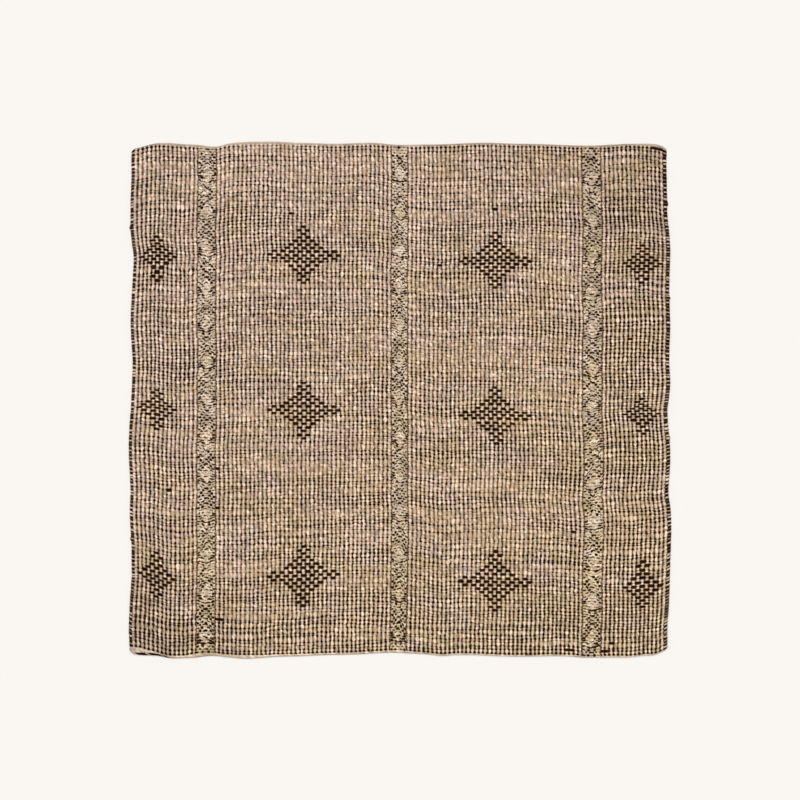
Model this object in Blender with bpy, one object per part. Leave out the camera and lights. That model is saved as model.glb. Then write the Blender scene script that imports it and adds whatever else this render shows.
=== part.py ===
"""Flat-woven jute rug, a single thick woven sheet that lies flat.

Its two side edges are corded where the weft turns back. Its two ends are hems of plain web,
turned under, so they are thinner than the ground. Three narrow pattern bands run from end to
end and lie a little below the ground. All four edges are as uneven as hand weaving leaves them.

Metres, +Z up. +X runs across the rug and +Y from its foot to its head. The origin is under the
middle of the rug's box, on the surface that the rug lies on.
"""

import math
from collections import namedtuple

import bmesh
import bpy

# ---------------------------------------------------------------- driving dimensions

MM = 0.001

RUG_WIDTH = 1500 * MM            # side edge to side edge, before their unevenness
RUG_LENGTH = 1430 * MM           # hem to hem, before their unevenness
GROUND_THICKNESS = 9.0 * MM
BAND_THICKNESS = 8.2 * MM
BAND_WIDTH = 48 * MM
BAND_PITCH = 538 * MM            # from one pattern band's middle to the next
GROOVE_DEPTH = 1.8 * MM          # the sunk warp that runs along each edge of a band
GROOVE_HALF_WIDTH = 2.2 * MM
CORD_ZONE = 14 * MM              # the side edge's cord and the groove beside it
HEM_ZONE = 11 * MM               # the part of the hem that shows on top, and the step beside it
LARGEST_STEP = 48 * MM           # widest spacing of the sheet's sections

SECTION_NEAR_CORNER = (6 * MM, 14 * MM, 26 * MM)

# The rim, from the underside round the edge and up to the ground, in millimetres.
RimRow = namedtuple("RimRow", "cord_inset cord_height hem_inset hem_height")
RIM = (
    RimRow(2.2, 0.0, 1.4, 0.0),
    RimRow(0.0, 3.8, 0.0, 2.4),
    RimRow(0.9, 7.2, 0.6, 4.6),
    RimRow(3.4, 9.4, 2.6, 6.0),
    RimRow(7.6, 9.2, 7.0, 6.2),
    RimRow(11.2, 7.6, 8.8, 7.0),
)

# How far each edge stands out from its straight line, in millimetres. The ends are followed
# from left to right and the sides from foot to head.
EdgeRow = namedtuple("EdgeRow", "along out")
HEAD_EDGE = (
    EdgeRow(14, -10), EdgeRow(40, -2), EdgeRow(76, 4), EdgeRow(165, -1),
    EdgeRow(232, -7), EdgeRow(270, 2), EdgeRow(340, 7), EdgeRow(400, 7),
    EdgeRow(470, 4), EdgeRow(570, 1), EdgeRow(670, 4), EdgeRow(760, -2),
    EdgeRow(840, -1), EdgeRow(1000, 4), EdgeRow(1110, 1), EdgeRow(1290, -4),
    EdgeRow(1420, 1),
)
FOOT_EDGE = (
    EdgeRow(30, -2), EdgeRow(60, -1), EdgeRow(115, 7), EdgeRow(165, 4),
    EdgeRow(215, -1), EdgeRow(316, 7), EdgeRow(416, 1), EdgeRow(584, -4),
    EdgeRow(735, -10), EdgeRow(800, -7), EdgeRow(870, -1), EdgeRow(905, -4),
    EdgeRow(1100, 1), EdgeRow(1200, -1), EdgeRow(1270, 4), EdgeRow(1405, 3),
    EdgeRow(1440, -2), EdgeRow(1468, -4), EdgeRow(1500, -15),
)
LEFT_EDGE = (
    EdgeRow(15, 6), EdgeRow(82, 8), EdgeRow(166, 3), EdgeRow(216, 0),
    EdgeRow(300, 0), EdgeRow(400, 5), EdgeRow(450, 3), EdgeRow(585, 8),
    EdgeRow(741, 0), EdgeRow(820, -3), EdgeRow(954, 3), EdgeRow(1021, 0),
    EdgeRow(1121, -6), EdgeRow(1205, 3), EdgeRow(1289, 3), EdgeRow(1356, 0),
)
RIGHT_EDGE = (
    EdgeRow(82, -4), EdgeRow(150, 1), EdgeRow(384, 7), EdgeRow(451, -1),
    EdgeRow(552, 4), EdgeRow(686, -4), EdgeRow(786, 4), EdgeRow(853, 1),
    EdgeRow(937, 4), EdgeRow(1021, 1), EdgeRow(1155, 4), EdgeRow(1222, 1),
    EdgeRow(1289, -7), EdgeRow(1323, -4), EdgeRow(1373, -7),
)

# How far each rounded corner reaches along the end and along the side, in millimetres.
Corner = namedtuple("Corner", "along_end along_side")
FOOT_LEFT = Corner(40, 11)
FOOT_RIGHT = Corner(14, 9)
HEAD_LEFT = Corner(18, 13)
HEAD_RIGHT = Corner(44, 20)

JUTE_COLOUR = (0.36, 0.26, 0.185, 1.0)
JUTE_ROUGHNESS = 0.92

# ---------------------------------------------------------------- the uneven outline

# A rounded corner's middle, at 45 degrees, is cut in by this share of its reach.
MIDDLE_CUT = 1.0 - math.sqrt(0.5)


def blend(start, end, share):
    return start + (end - start) * share


def standing_out(table, along):
    """How far an edge stands out at a distance along it, eased from row to row."""
    place = along / MM
    if place <= table[0].along:
        return table[0].out * MM
    for low, high in zip(table, table[1:]):
        if place <= high.along:
            share = (place - low.along) / (high.along - low.along)
            ease = (1.0 - math.cos(math.pi * share)) / 2.0
            return blend(low.out, high.out, ease) * MM
    return table[-1].out * MM


def corner_cut(distance, reach, depth):
    """How far a rounded corner draws an edge in, at a distance from the corner's middle."""
    run = MIDDLE_CUT * reach * MM + distance
    if run >= reach * MM:
        return 0.0
    rise = 1.0 - run / (reach * MM)
    return depth * MM * (1.0 - math.sqrt(1.0 - rise * rise))


def side_edge(table, foot_corner, head_corner, along):
    """Distance of a side edge from the rug's middle line."""
    out = RUG_WIDTH / 2.0 + standing_out(table, along)
    out -= corner_cut(along, foot_corner.along_side, foot_corner.along_end)
    out -= corner_cut(RUG_LENGTH - along, head_corner.along_side, head_corner.along_end)
    return out


def end_edge(table, left_corner, right_corner, across):
    """Distance of an end edge from the rug's cross line."""
    out = RUG_LENGTH / 2.0 + standing_out(table, across)
    out -= corner_cut(across, left_corner.along_end, left_corner.along_side)
    out -= corner_cut(RUG_WIDTH - across, right_corner.along_end, right_corner.along_side)
    return out


def rug_point(across, along):
    """Place on the rug, for distances from its left side and its foot."""
    left = -side_edge(LEFT_EDGE, FOOT_LEFT, HEAD_LEFT, along)
    right = side_edge(RIGHT_EDGE, FOOT_RIGHT, HEAD_RIGHT, along)
    foot = -end_edge(FOOT_EDGE, FOOT_LEFT, FOOT_RIGHT, across)
    head = end_edge(HEAD_EDGE, HEAD_LEFT, HEAD_RIGHT, across)
    x = blend(left, right, across / RUG_WIDTH)
    y = blend(foot, head, along / RUG_LENGTH)
    return x, y


# ---------------------------------------------------------------- sections of the sheet


def with_steps(marks):
    """The marks in order, with even steps added where two lie far apart."""
    places = []
    for start, end in zip(marks, marks[1:]):
        count = max(1, math.ceil((end - start) / LARGEST_STEP))
        places += [blend(start, end, step / count) for step in range(count)]
    return places + [marks[-1]]


def band_edges():
    """Distances from the left side to both edges of each pattern band."""
    middle = RUG_WIDTH / 2.0
    centres = (middle - BAND_PITCH, middle, middle + BAND_PITCH)
    return [(centre - BAND_WIDTH / 2.0, centre + BAND_WIDTH / 2.0) for centre in centres]


def sections_across():
    """Distances from the left side at which the ground is cut into sections."""
    marks = [CORD_ZONE, RUG_WIDTH - CORD_ZONE]
    for reach in SECTION_NEAR_CORNER:
        marks += [CORD_ZONE + reach, RUG_WIDTH - CORD_ZONE - reach]
    for pair in band_edges():
        for edge in pair:
            marks += [edge - GROOVE_HALF_WIDTH, edge, edge + GROOVE_HALF_WIDTH]
    return with_steps(sorted(marks))


def sections_along():
    """Distances from the foot at which the ground is cut into sections."""
    marks = [HEM_ZONE, RUG_LENGTH - HEM_ZONE]
    for reach in SECTION_NEAR_CORNER:
        marks += [HEM_ZONE + reach, RUG_LENGTH - HEM_ZONE - reach]
    return with_steps(sorted(marks))


def ground_height(across):
    """Height of the woven top: ground, pattern band, or the groove between them."""
    for start, end in band_edges():
        if min(abs(across - start), abs(across - end)) < GROOVE_HALF_WIDTH / 2.0:
            return GROUND_THICKNESS - GROOVE_DEPTH
        if start < across < end:
            return BAND_THICKNESS
    return GROUND_THICKNESS


def stretched(places, zone, whole):
    """Sections of the ground carried out to the rug's own edges."""
    return [(place - zone) / (whole - 2.0 * zone) * whole for place in places]


# ---------------------------------------------------------------- the solid


def border_steps(last_column, last_row):
    """Column and row numbers once round the border, anticlockwise from the foot's left."""
    foot = [(column, 0) for column in range(last_column)]
    right = [(last_column, row) for row in range(last_row)]
    head = [(column, last_row) for column in range(last_column, 0, -1)]
    left = [(0, row) for row in range(last_row, 0, -1)]
    return foot + right + head + left


def rim_height(row, on_side, on_end):
    """Height of the rim: the cord along the sides, the hem along the ends."""
    if on_side and on_end:
        return (row.cord_height + row.hem_height) / 2.0 * MM
    return (row.cord_height if on_side else row.hem_height) * MM


def add_rim(shell, border, across, along):
    """Rings of vertices from the underside, round the edge and up to the ground."""
    last_column = len(across) - 1
    last_row = len(along) - 1
    outer_across = stretched(across, CORD_ZONE, RUG_WIDTH)
    outer_along = stretched(along, HEM_ZONE, RUG_LENGTH)
    rings = []
    for rim_row in RIM:
        share_across = rim_row.cord_inset * MM / CORD_ZONE
        share_along = rim_row.hem_inset * MM / HEM_ZONE
        ring = []
        for column, row in border:
            x, y = rug_point(
                blend(outer_across[column], across[column], share_across),
                blend(outer_along[row], along[row], share_along),
            )
            height = rim_height(rim_row, column in (0, last_column), row in (0, last_row))
            ring.append(shell.verts.new((x, y, height)))
        rings.append(ring)
    return rings


def add_ground(shell, across, along):
    """The woven top's vertices, by column and row."""
    ground = {}
    for column, place_across in enumerate(across):
        height = ground_height(place_across)
        for row, place_along in enumerate(along):
            x, y = rug_point(place_across, place_along)
            ground[column, row] = shell.verts.new((x, y, height))
    return ground


def join_rings(shell, lower, upper):
    """A strip of faces between two rings."""
    for index in range(len(lower)):
        following = (index + 1) % len(lower)
        shell.faces.new((lower[index], lower[following], upper[following], upper[index]))


def centre_on_origin(shell):
    """Move the rug so that the middle of its box is over the origin."""
    for axis in (0, 1):
        values = [vertex.co[axis] for vertex in shell.verts]
        middle = (min(values) + max(values)) / 2.0
        for vertex in shell.verts:
            vertex.co[axis] -= middle


def rug_mesh():
    """The whole rug as one closed shell with a flat underside."""
    across = sections_across()
    along = sections_along()
    border = border_steps(len(across) - 1, len(along) - 1)

    shell = bmesh.new()
    rings = add_rim(shell, border, across, along)
    ground = add_ground(shell, across, along)
    rings.append([ground[place] for place in border])

    shell.faces.new(list(reversed(rings[0])))
    for lower, upper in zip(rings, rings[1:]):
        join_rings(shell, lower, upper)
    for column in range(len(across) - 1):
        for row in range(len(along) - 1):
            shell.faces.new((
                ground[column, row],
                ground[column + 1, row],
                ground[column + 1, row + 1],
                ground[column, row + 1],
            ))
    centre_on_origin(shell)
    bmesh.ops.recalc_face_normals(shell, faces=shell.faces)

    mesh = bpy.data.meshes.new("woven_rug")
    shell.to_mesh(mesh)
    shell.free()
    return mesh


def jute_material():
    """Undyed jute as a plain matt finish."""
    material = bpy.data.materials.new("jute_weave")
    material.use_nodes = True
    surface = material.node_tree.nodes["Principled BSDF"]
    surface.inputs["Base Color"].default_value = JUTE_COLOUR
    surface.inputs["Roughness"].default_value = JUTE_ROUGHNESS
    surface.inputs["Metallic"].default_value = 0.0
    return material


def build():
    for leftover in list(bpy.data.objects):
        bpy.data.objects.remove(leftover, do_unlink=True)
    mesh = rug_mesh()
    mesh.materials.append(jute_material())
    rug = bpy.data.objects.new("woven_rug", mesh)
    bpy.context.scene.collection.objects.link(rug)


build()
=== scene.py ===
# %% [markdown]
# # A flat-woven jute rug
# The rug is woven pick and pick: one throw of thick, undyed jute, then one throw of thin, dark
# brown jute. The thick yarn floats over every odd warp and piles up into light ribs. The thin
# yarn floats over every even warp and shows as a column of dark dots between two ribs. Where the
# weaver lets the dark yarn float over a rib as well, dashes appear, and they draw the diamonds.
# Everything below follows from that: the cloth is modelled yarn by yarn, not painted, except for
# the shade in its valleys and a pale sheen on its crowns, which are painted.

# %% Load the imported solid and keep its box
import math

import bpy
import numpy as np
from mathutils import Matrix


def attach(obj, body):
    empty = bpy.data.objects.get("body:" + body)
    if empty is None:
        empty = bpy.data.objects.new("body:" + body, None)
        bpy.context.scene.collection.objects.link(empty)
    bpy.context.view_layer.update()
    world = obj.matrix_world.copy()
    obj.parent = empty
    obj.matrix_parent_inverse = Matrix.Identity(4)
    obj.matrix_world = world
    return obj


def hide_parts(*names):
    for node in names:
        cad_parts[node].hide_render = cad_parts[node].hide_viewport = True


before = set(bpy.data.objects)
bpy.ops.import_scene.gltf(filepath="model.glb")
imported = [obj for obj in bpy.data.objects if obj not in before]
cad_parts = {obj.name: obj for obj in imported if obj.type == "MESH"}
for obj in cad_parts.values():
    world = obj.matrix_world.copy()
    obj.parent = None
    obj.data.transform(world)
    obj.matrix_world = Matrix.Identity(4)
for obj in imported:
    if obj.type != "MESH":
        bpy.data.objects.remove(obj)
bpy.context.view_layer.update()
MM = 0.001

# %% [markdown]
# ## The camera
# A flat rug is best judged from straight above. An orthographic camera would do, but a long lens
# high over the middle is what a studio has, and keeps the perspective so weak that all four edges
# show at the same scale.

# %% Place the camera
VIEW_WIDTH = 2.2346             # how much floor the camera sees, in metres
LENS = 85.0
SENSOR = 36.0
RUG_TOP = 9.0 * MM

camera_data = bpy.data.cameras.new("overhead")
camera_data.lens = LENS
camera_data.sensor_width = SENSOR
camera = bpy.data.objects.new("overhead", camera_data)
camera.location = (0.0, 0.0, RUG_TOP + VIEW_WIDTH * LENS / SENSOR)
bpy.context.scene.collection.objects.link(camera)
bpy.context.scene.camera = camera
print("camera height", round(camera.location.z, 3))

# %% [markdown]
# ## The outline
# A hand-woven rug is never quite square: its sides wave and its ends bow. The solid already has
# that uneven outline, so it is read from there and not stated again. The solid is widest in a ring
# a few millimetres above the floor: higher on the corded sides, lower on the hemmed ends, and in
# between at the corners.

# %% Read the four edges from the solid
RING_HEIGHTS = (2.0 * MM, 4.2 * MM)
CORNER_HEIGHT = 3.1 * MM
SAME_HEIGHT = 0.05 * MM


def widest_ring():
    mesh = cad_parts["woven_rug"].data
    points = np.empty(len(mesh.vertices) * 3)
    mesh.vertices.foreach_get("co", points)
    points = np.unique(points.reshape(-1, 3).round(6), axis=0)
    return points[(points[:, 2] > RING_HEIGHTS[0]) & (points[:, 2] < RING_HEIGHTS[1])]


def read_edge(points, axis):
    """An edge as shares of its length, and how far it lies from the middle there."""
    points = points[np.argsort(points[:, axis])]
    start, end = points[0, axis], points[-1, axis]
    return (points[:, axis] - start) / (end - start), points[:, 1 - axis]


def eased(table, at):
    """A smooth curve through a table of places and values."""
    places, values = table
    slopes = np.gradient(values, places)
    low = np.clip(np.searchsorted(places, at) - 1, 0, len(places) - 2)
    width = places[low + 1] - places[low]
    share = (at - places[low]) / width
    rise = share * share * (3.0 - 2.0 * share)
    bend = share * (1.0 - share) * width
    return (
        values[low] * (1.0 - rise)
        + values[low + 1] * rise
        + bend * (slopes[low] * (1.0 - share) - slopes[low + 1] * share)
    )


ring = widest_ring()
on_side = ring[:, 2] > CORNER_HEIGHT - SAME_HEIGHT
on_end = ring[:, 2] < CORNER_HEIGHT + SAME_HEIGHT
LEFT = read_edge(ring[on_side & (ring[:, 0] < 0)], 1)
RIGHT = read_edge(ring[on_side & (ring[:, 0] > 0)], 1)
FOOT = read_edge(ring[on_end & (ring[:, 1] < 0)], 0)
HEAD = read_edge(ring[on_end & (ring[:, 1] > 0)], 0)


def rug_place(across, along):
    """Where a share of the way across and along the rug is, in metres."""
    x = eased(LEFT, along) * (1.0 - across) + eased(RIGHT, along) * across
    y = eased(FOOT, across) * (1.0 - along) + eased(HEAD, across) * along
    return x, y


print("edge points", [len(edge[0]) for edge in (LEFT, RIGHT, FOOT, HEAD)])

# %% [markdown]
# ## The weave plan
# All yarns are placed by two counts: ribs from the left side and picks from the foot. A pick
# here is one throw of each yarn. Whole numbers across are the even warps, under the columns of
# dark dots, and a rib lies between two of them. The narrow bands take the room of four ribs each,
# the outer two a little more and the middle one a little less. Short tables say where the warps
# stand, how tightly each stretch was beaten, and how far each hem reaches over the cloth.

# %% Count ribs and picks
RIBS = 124
PICKS = 144
RUG_WIDTH = 1500 * MM
RUG_LENGTH = 1430 * MM
RIB_PITCH = 12.0 * MM
CORD_WIDTHS = {"cord_left": 5.6 * MM, "cord_right": 8.0 * MM}
BANDS = ((15, 19), (60, 64), (105, 109))
SEED = 7

# Where the warps at the borders of the sections stand; the outer two lie under the cords.
RIB_MARKS = np.array([-2.0, 0.0, 15.0, 19.0, 60.0, 64.0, 105.0, 109.0, 124.0, 126.0])
MARK_PLACES = np.array(
    [-18.4, 5.6, 184.4, 236.0, 726.4, 771.2, 1261.0, 1313.4, 1492.0, 1516.0]
) * MM

# The weft is beaten in less firmly near the foot, so the picks there are taller.
BEAT_PICKS = np.array([0.0, 20.5, 66.5, 111.5, 144.0])
BEAT_SHARES = np.array([0.0, 0.152, 0.477, 0.780, 1.0])

# How wide the turned hem shows on top, in millimetres, by the share of the way across.
HEM_SHARES = np.array(
    [0.0, 0.02, 0.035, 0.07, 0.10, 0.13, 0.17, 0.21, 0.26, 0.47, 0.50, 0.53, 0.60, 0.85,
     0.87, 0.93, 0.965, 1.0]
)
FOOT_HEM = np.array(
    [21.0, 19.0, 12.0, 5.5, 3.5, 8.0, 5.0, 7.0, 2.5, 2.5, 5.5, 2.5, 1.2, 1.5,
     1.5, 1.2, 1.0, 1.0]
) * MM
HEAD_HEM = np.array(
    [2.0, 2.5, 4.0, 5.5, 5.5, 5.5, 4.0, 6.0, 6.0, 4.5, 4.5, 4.5, 4.0, 4.0,
     5.0, 3.0, 6.0, 12.0]
) * MM

pick_pitch = (RUG_LENGTH - 10.0 * MM) / PICKS
print("rib", round(RIB_PITCH / MM, 2), "mm, pick", round(pick_pitch / MM, 2), "mm")

# %% [markdown]
# ## Hand unevenness
# A weaver beats the weft down by hand, so ribs wander a little and picks bow and drift. Random
# numbers on a coarse lattice, eased between its points, give drifts of any length, and the same
# seed gives the same rug each time. Larger faults are stated in tables: the picks climb or fall
# from one side to the other (skew), all ribs lean left or right together (lean), and near the
# sides the picks ride up and down (ride). A noise texture could displace a plane like this, but
# then the chart, the dots and the outline could not follow the same cloth.

# %% Drifts for ribs and picks
LATTICE = 256

# Each drift: how far in millimetres, its pace across and along, and its own number.
WANDER = ((0.9, 0.11, 0.030, 1), (0.8, 0.45, 0.07, 2), (1.2, 0.93, 0.93, 5))
BOW = ((2.8, 0.045, 0.050, 3), (1.2, 0.08, 0.33, 4))

# How far picks climb or fall by the share of the way across, and ribs lean by the share along.
SKEW_SHARES = np.array([0.0, 0.12, 0.24, 0.31, 0.38, 0.44, 0.56, 0.62, 0.69, 0.76, 0.9, 1.0])
SKEW = np.array([0.0, 0.0, 4.0, 4.0, 4.0, 2.0, -10.0, -12.0, -12.0, -13.0, -20.0, -21.0]) * MM
SKEW_FADE_PICKS = 20.0
LEAN_SHARES = np.array(
    [0.0, 0.07, 0.13, 0.21, 0.27, 0.35, 0.40, 0.45, 0.49, 0.54, 0.63, 0.70, 0.77, 0.82,
     0.86, 0.91, 1.0]
)
LEAN = np.array(
    [1.5, 1.7, -1.6, -2.9, -0.2, 1.4, 2.6, 4.6, 1.4, -2.8, -1.1, -0.6, -4.7, -2.8,
     2.2, 3.3, 2.0]
) * MM
LEAN_FADE_RIBS = 6.0

# Near the two sides the picks ride up and down a little around each small diamond.
RIDE_PICKS = np.array(
    [0.0, 14.0, 20.0, 26.0, 45.0, 60.0, 66.0, 72.0, 90.0, 105.0, 111.0, 117.0, 144.0]
)
LEFT_RIDE = np.array([0, 5, -2, -2, 2, 6, 8, -2, -6, -10, 3, -6, 0]) * MM
RIGHT_RIDE = np.array([0, -2, -5, 3, 12, 18, 17, -1, 4, 10, 6, -4, 0]) * MM
LEFT_SHARES, RIGHT_SHARES = (0.155, 0.095), (0.82, 0.90)    # where the ride starts and is full
CORNER_SHARE = 0.035            # ribs stay straight over this much of the rounded corners
BORDER_FADE_RIBS = 3.0
BORDER_FADE_PICKS = 5.0


def smooth(value):
    value = np.clip(value, 0.0, 1.0)
    return value * value * (3.0 - 2.0 * value)


def rise(count, start, full):
    """A smooth rise from 0 at start to 1 at full, whichever of them is greater."""
    return smooth((count - start) / (full - start))


def drift(across, along, number):
    """Smooth random drift from -1 to 1 over two counts; each number gives another drift."""
    lattice = np.random.default_rng(SEED * 1000 + number).uniform(-1, 1, (LATTICE, LATTICE))
    column = np.floor(across).astype(int)
    row = np.floor(along).astype(int)
    right = smooth(across - column)
    up = smooth(along - row)
    column, row = column % LATTICE, row % LATTICE
    next_column, next_row = (column + 1) % LATTICE, (row + 1) % LATTICE
    lower = lattice[row, column] * (1 - right) + lattice[row, next_column] * right
    upper = lattice[next_row, column] * (1 - right) + lattice[next_row, next_column] * right
    return lower * (1 - up) + upper * up


def summed_drifts(table, across, along):
    """The drifts of a table added up, in metres."""
    return MM * sum(
        far * drift(across * pace_across, along * pace_along, number)
        for far, pace_across, pace_along, number in table
    )


def cloth_place(rib, pick):
    """Where a count of ribs and picks lies on the rug, with the unevenness of the hand."""
    across = np.interp(rib, RIB_MARKS, MARK_PLACES) / RUG_WIDTH
    foot = np.interp(across, HEM_SHARES, FOOT_HEM) / RUG_LENGTH
    head = np.interp(across, HEM_SHARES, HEAD_HEM) / RUG_LENGTH
    along = foot + (1.0 - foot - head) * eased((BEAT_PICKS, BEAT_SHARES), pick)
    x, y = rug_place(across, along)
    straight_x = rug_place(across, np.clip(along, CORNER_SHARE, 1.0 - CORNER_SHARE))[0]
    side_ribs = np.minimum(rib, RIBS - rib)
    from_side = smooth(side_ribs / BORDER_FADE_RIBS)
    x = x + (straight_x - x) * from_side
    x = x + eased((LEAN_SHARES, LEAN), along) * smooth(side_ribs / LEAN_FADE_RIBS)
    from_end = np.minimum(pick, PICKS - pick)
    near_end = smooth(from_end / BORDER_FADE_PICKS)
    x = x + summed_drifts(WANDER, rib, pick) * from_side
    y = y + summed_drifts(BOW, rib, pick) * near_end
    y = y + eased((SKEW_SHARES, SKEW), across) * smooth(from_end / SKEW_FADE_PICKS)
    for ride, shares in ((LEFT_RIDE, LEFT_SHARES), (RIGHT_RIDE, RIGHT_SHARES)):
        y = y + eased((RIDE_PICKS, ride), pick) * rise(across, *shares)
    return x, y


cloth_x, cloth_y = cloth_place(np.array([0.0, RIBS]), np.array([0.0, PICKS]))
print("cloth across", cloth_x.round(3), "and along", cloth_y.round(3))

# %% [markdown]
# ## The chart
# The diamonds are a common stepped pattern, so they are charted the way a weaver counts them:
# how many dashes each pick shows. Dashes sit on every other rib and move over by one rib from
# pick to pick, which is why the counts change by odd steps. A few dashes are slips of the weaver's
# count: some fall anywhere, and some are charted where they catch the eye.

# %% Chart the dashes
LARGE_DIAMOND = (1, 2, 1, 2, 3, 4, 5, 8, 9, 8, 5, 4, 3, 2, 1, 2, 1)
SMALL_DIAMOND = (1, 2, 1, 2, 3, 4, 5, 4, 3, 2, 1, 2, 1)
DIAMOND_PICKS = (20, 66, 111)
SMALL_RIBS = (5, 118)
LARGE_RIBS = (39, 84)
STRAY_DASHES = 7
CALM_RIBS = 3                   # how far beside a dash the picks lie calmer

# The first and last rib and the pick of each slip that is charted.
CHARTED_SLIPS = (
    (19, 19, 39), (19, 19, 50), (19, 20, 9), (101, 102, 1), (109, 110, 1), (121, 123, 143),
)


def chart_dashes():
    """For each rib and pick, whether the dark yarn floats over the rib."""
    dashes = np.zeros((RIBS + 2, PICKS + 1), bool)
    for ribs, counts in ((SMALL_RIBS, SMALL_DIAMOND), (LARGE_RIBS, LARGE_DIAMOND)):
        for middle_rib in ribs:
            for middle_pick in DIAMOND_PICKS:
                for step, count in enumerate(counts):
                    pick = middle_pick + step - len(counts) // 2
                    first = middle_rib - (count - 1)
                    dashes[first:first + 2 * count:2, pick] = True
    slips = np.random.default_rng(SEED)
    for _ in range(STRAY_DASHES):
        dashes[slips.integers(2, RIBS - 2), slips.integers(3, PICKS - 3)] = True
    for first, last, pick in CHARTED_SLIPS:
        dashes[first:last + 1, pick] = True
    return dashes


def near_dashes(charted):
    """How near each rib and pick is to a dash on the same pick, from 0 to 1."""
    near = np.zeros(charted.shape)
    for side in range(-CALM_RIBS, CALM_RIBS + 1):
        fade = 1.0 - abs(side) / (CALM_RIBS + 2.0)
        near = np.maximum(near, np.roll(charted, side, axis=0) * fade)
    return near


dashes = chart_dashes()
calm = near_dashes(dashes)
print("dashes", int(dashes.sum()))

# %% [markdown]
# ## How strongly each dot shows
# The dark yarn is spun unevenly and beaten in unevenly. Whole picks show strongly or faintly over
# long stretches, and in places every other pick sinks. The dots show most along the sides, at the
# foot and in the first and last picks, and least at the head and a little right of the middle. In
# the first and last picks the wider dots are partly dark yarn and partly painted shadow under the
# hem rolls.
# Here and there the thick yarn slips over the even warps and hides the dots for a few ribs.

# %% Dots, and the slips that hide them
DOT_REACH = 0.35                # half the height of a dot, in picks
LEAST_DOT, MOST_DOT = 0.1, 2.4
SLIPS = 170
SLIP_RIBS = 5.0                 # mean length of a slip
SLIP_LIFT = 0.65                # how far the highest slip rises from the valley, as a share


def around(count, middle, spread):
    """1 at the middle count, and less and less to both sides of it."""
    return np.exp(-((count - middle) / spread) ** 2)


def dot_sizes():
    """Half height of the dot on each even warp and pick, in picks."""
    warp, pick = np.meshgrid(np.arange(RIBS + 1.0), np.arange(PICKS + 1.0), indexing="ij")
    each = np.random.default_rng(SEED + 2).uniform(-1, 1, warp.shape)
    in_end_picks = (pick < 2) | (pick > PICKS - 3)
    every_other = np.cos(np.pi * pick)
    size = 1.0 + 1.15 * drift(warp * 0.07, pick * 0.97, 11) + 0.50 * each
    size += 0.30 * drift(warp * 0.05, pick * 0.10, 12)
    size += 0.30 * drift(warp * 0.06, pick * 0.08, 13) * every_other
    size += 0.20 * drift(warp * 0.97, pick * 0.06, 15)
    size += 0.32 * rise(warp, 15, 5)                                    # the left side
    size += 0.65 * rise(warp, 100, 116)                                 # the right side
    size += 0.50 * rise(warp, 95, 110) * around(pick, 84, 9)            # its upper middle
    size += 0.80 * rise(pick, 20, 7) * (1.0 + 0.5 * rise(warp, 30, 0))  # the foot, more at its left
    size += 0.25 * rise(warp, 80, 60) * around(pick, 112, 9)            # a strip at the left
    # first and last picks: wider dots, partly the dark yarn and partly painted shadow under the
    # hems
    size += 0.60 * in_end_picks * rise(warp + pick, 20, 80)             # the ends
    size -= 0.35 * rise(pick, 126, 138)                                 # the head
    size -= 0.30 * around(warp, 72, 14) * around(pick, 45, 30)          # right of the middle
    return DOT_REACH * np.clip(size, LEAST_DOT, MOST_DOT)


def slip_lifts():
    """How far the thick yarn rides over each even warp, from 0 to 1."""
    lifts = np.zeros((RIBS + 1, PICKS + 1))
    slips = np.random.default_rng(SEED + 1)
    for _ in range(SLIPS):
        warp = slips.integers(1, RIBS)
        pick = slips.integers(1, PICKS)
        length = 1 + int(slips.exponential(SLIP_RIBS))
        height = slips.uniform(0.4, 1.0) * SLIP_LIFT
        lifts[warp:warp + length, pick] = height / length ** 0.3
    return lifts


dots = dot_sizes()
lifts = slip_lifts()
dots = dots * (1.0 - lifts)     # a dot under a slip is partly hidden
print("mean dot height", round(float(dots.mean()) * 2 * pick_pitch / MM, 2), "mm")

# %% [markdown]
# ## The ground, yarn by yarn
# Each rib takes five columns of faces and each pick four rows: two rows for the dark yarn and
# two for the thick one. The rows are not straight. They follow the edges of the yarns, so a dot
# is wide on its even warp and pinches out under the ribs, and the two yarns are really separate
# faces with a crease between them. A shader could draw this on a plane, but then the ribs would
# have no shape from the side. Beside a dash the picks lie calmer, so the diamonds stay crisp.

# %% Shape of one pick across the ribs
STEPS = 5                       # columns of faces in a rib
LINES = 4                       # rows of faces in a pick: two dark, two natural
DOT_SHARE = np.array([1.0, 0.36, 0.0, 0.0, 0.36])
SLIP_SHARE = np.array([1.0, 0.7, 0.15, 0.15, 0.7])
HIDDEN_REACH = 0.012
DASH_REACH = np.array([0.50, 0.47, 0.41, 0.41, 0.47])
FULLEST = 0.47                  # of the room between two dark picks
PICK_JITTER = 0.62
DOT_JITTER = 0.26
FURTHEST_JITTER = 0.38
CALMED = 0.7                    # how much jitter is taken away beside a dash
VALLEY = 4.2 * MM
CROWN = 9.0 * MM
CREASE_DEPTH = 0.7 * MM
CREASE_IN_VALLEY = 0.5 * MM
DOT_HEIGHT = 6.0 * MM
DASH_HEIGHT = 9.2 * MM


def dark_middles(across, pick, still):
    """Where the middle of each dark throw lies, in picks."""
    jitter = PICK_JITTER * drift(across * 0.08, pick * 0.97, 24)
    jitter = jitter + DOT_JITTER * drift(across * 0.97, pick * 0.97, 25)
    jitter = jitter * (1.0 - CALMED * still) * smooth(np.minimum(pick, PICKS - 1 - pick) / 2.0)
    return pick + 0.5 + np.clip(jitter, -FURTHEST_JITTER, FURTHEST_JITTER)


def yarn_edges(middle, reach):
    """Lower and upper edge of each dark throw, kept clear of its neighbours."""
    room = np.diff(middle, axis=1, prepend=middle[:, :1] - 1.0, append=middle[:, -1:] + 1.0)
    lower = middle - np.minimum(reach, FULLEST * room[:, :-1])
    upper = middle + np.minimum(reach, FULLEST * room[:, 1:])
    return lower, upper


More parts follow.
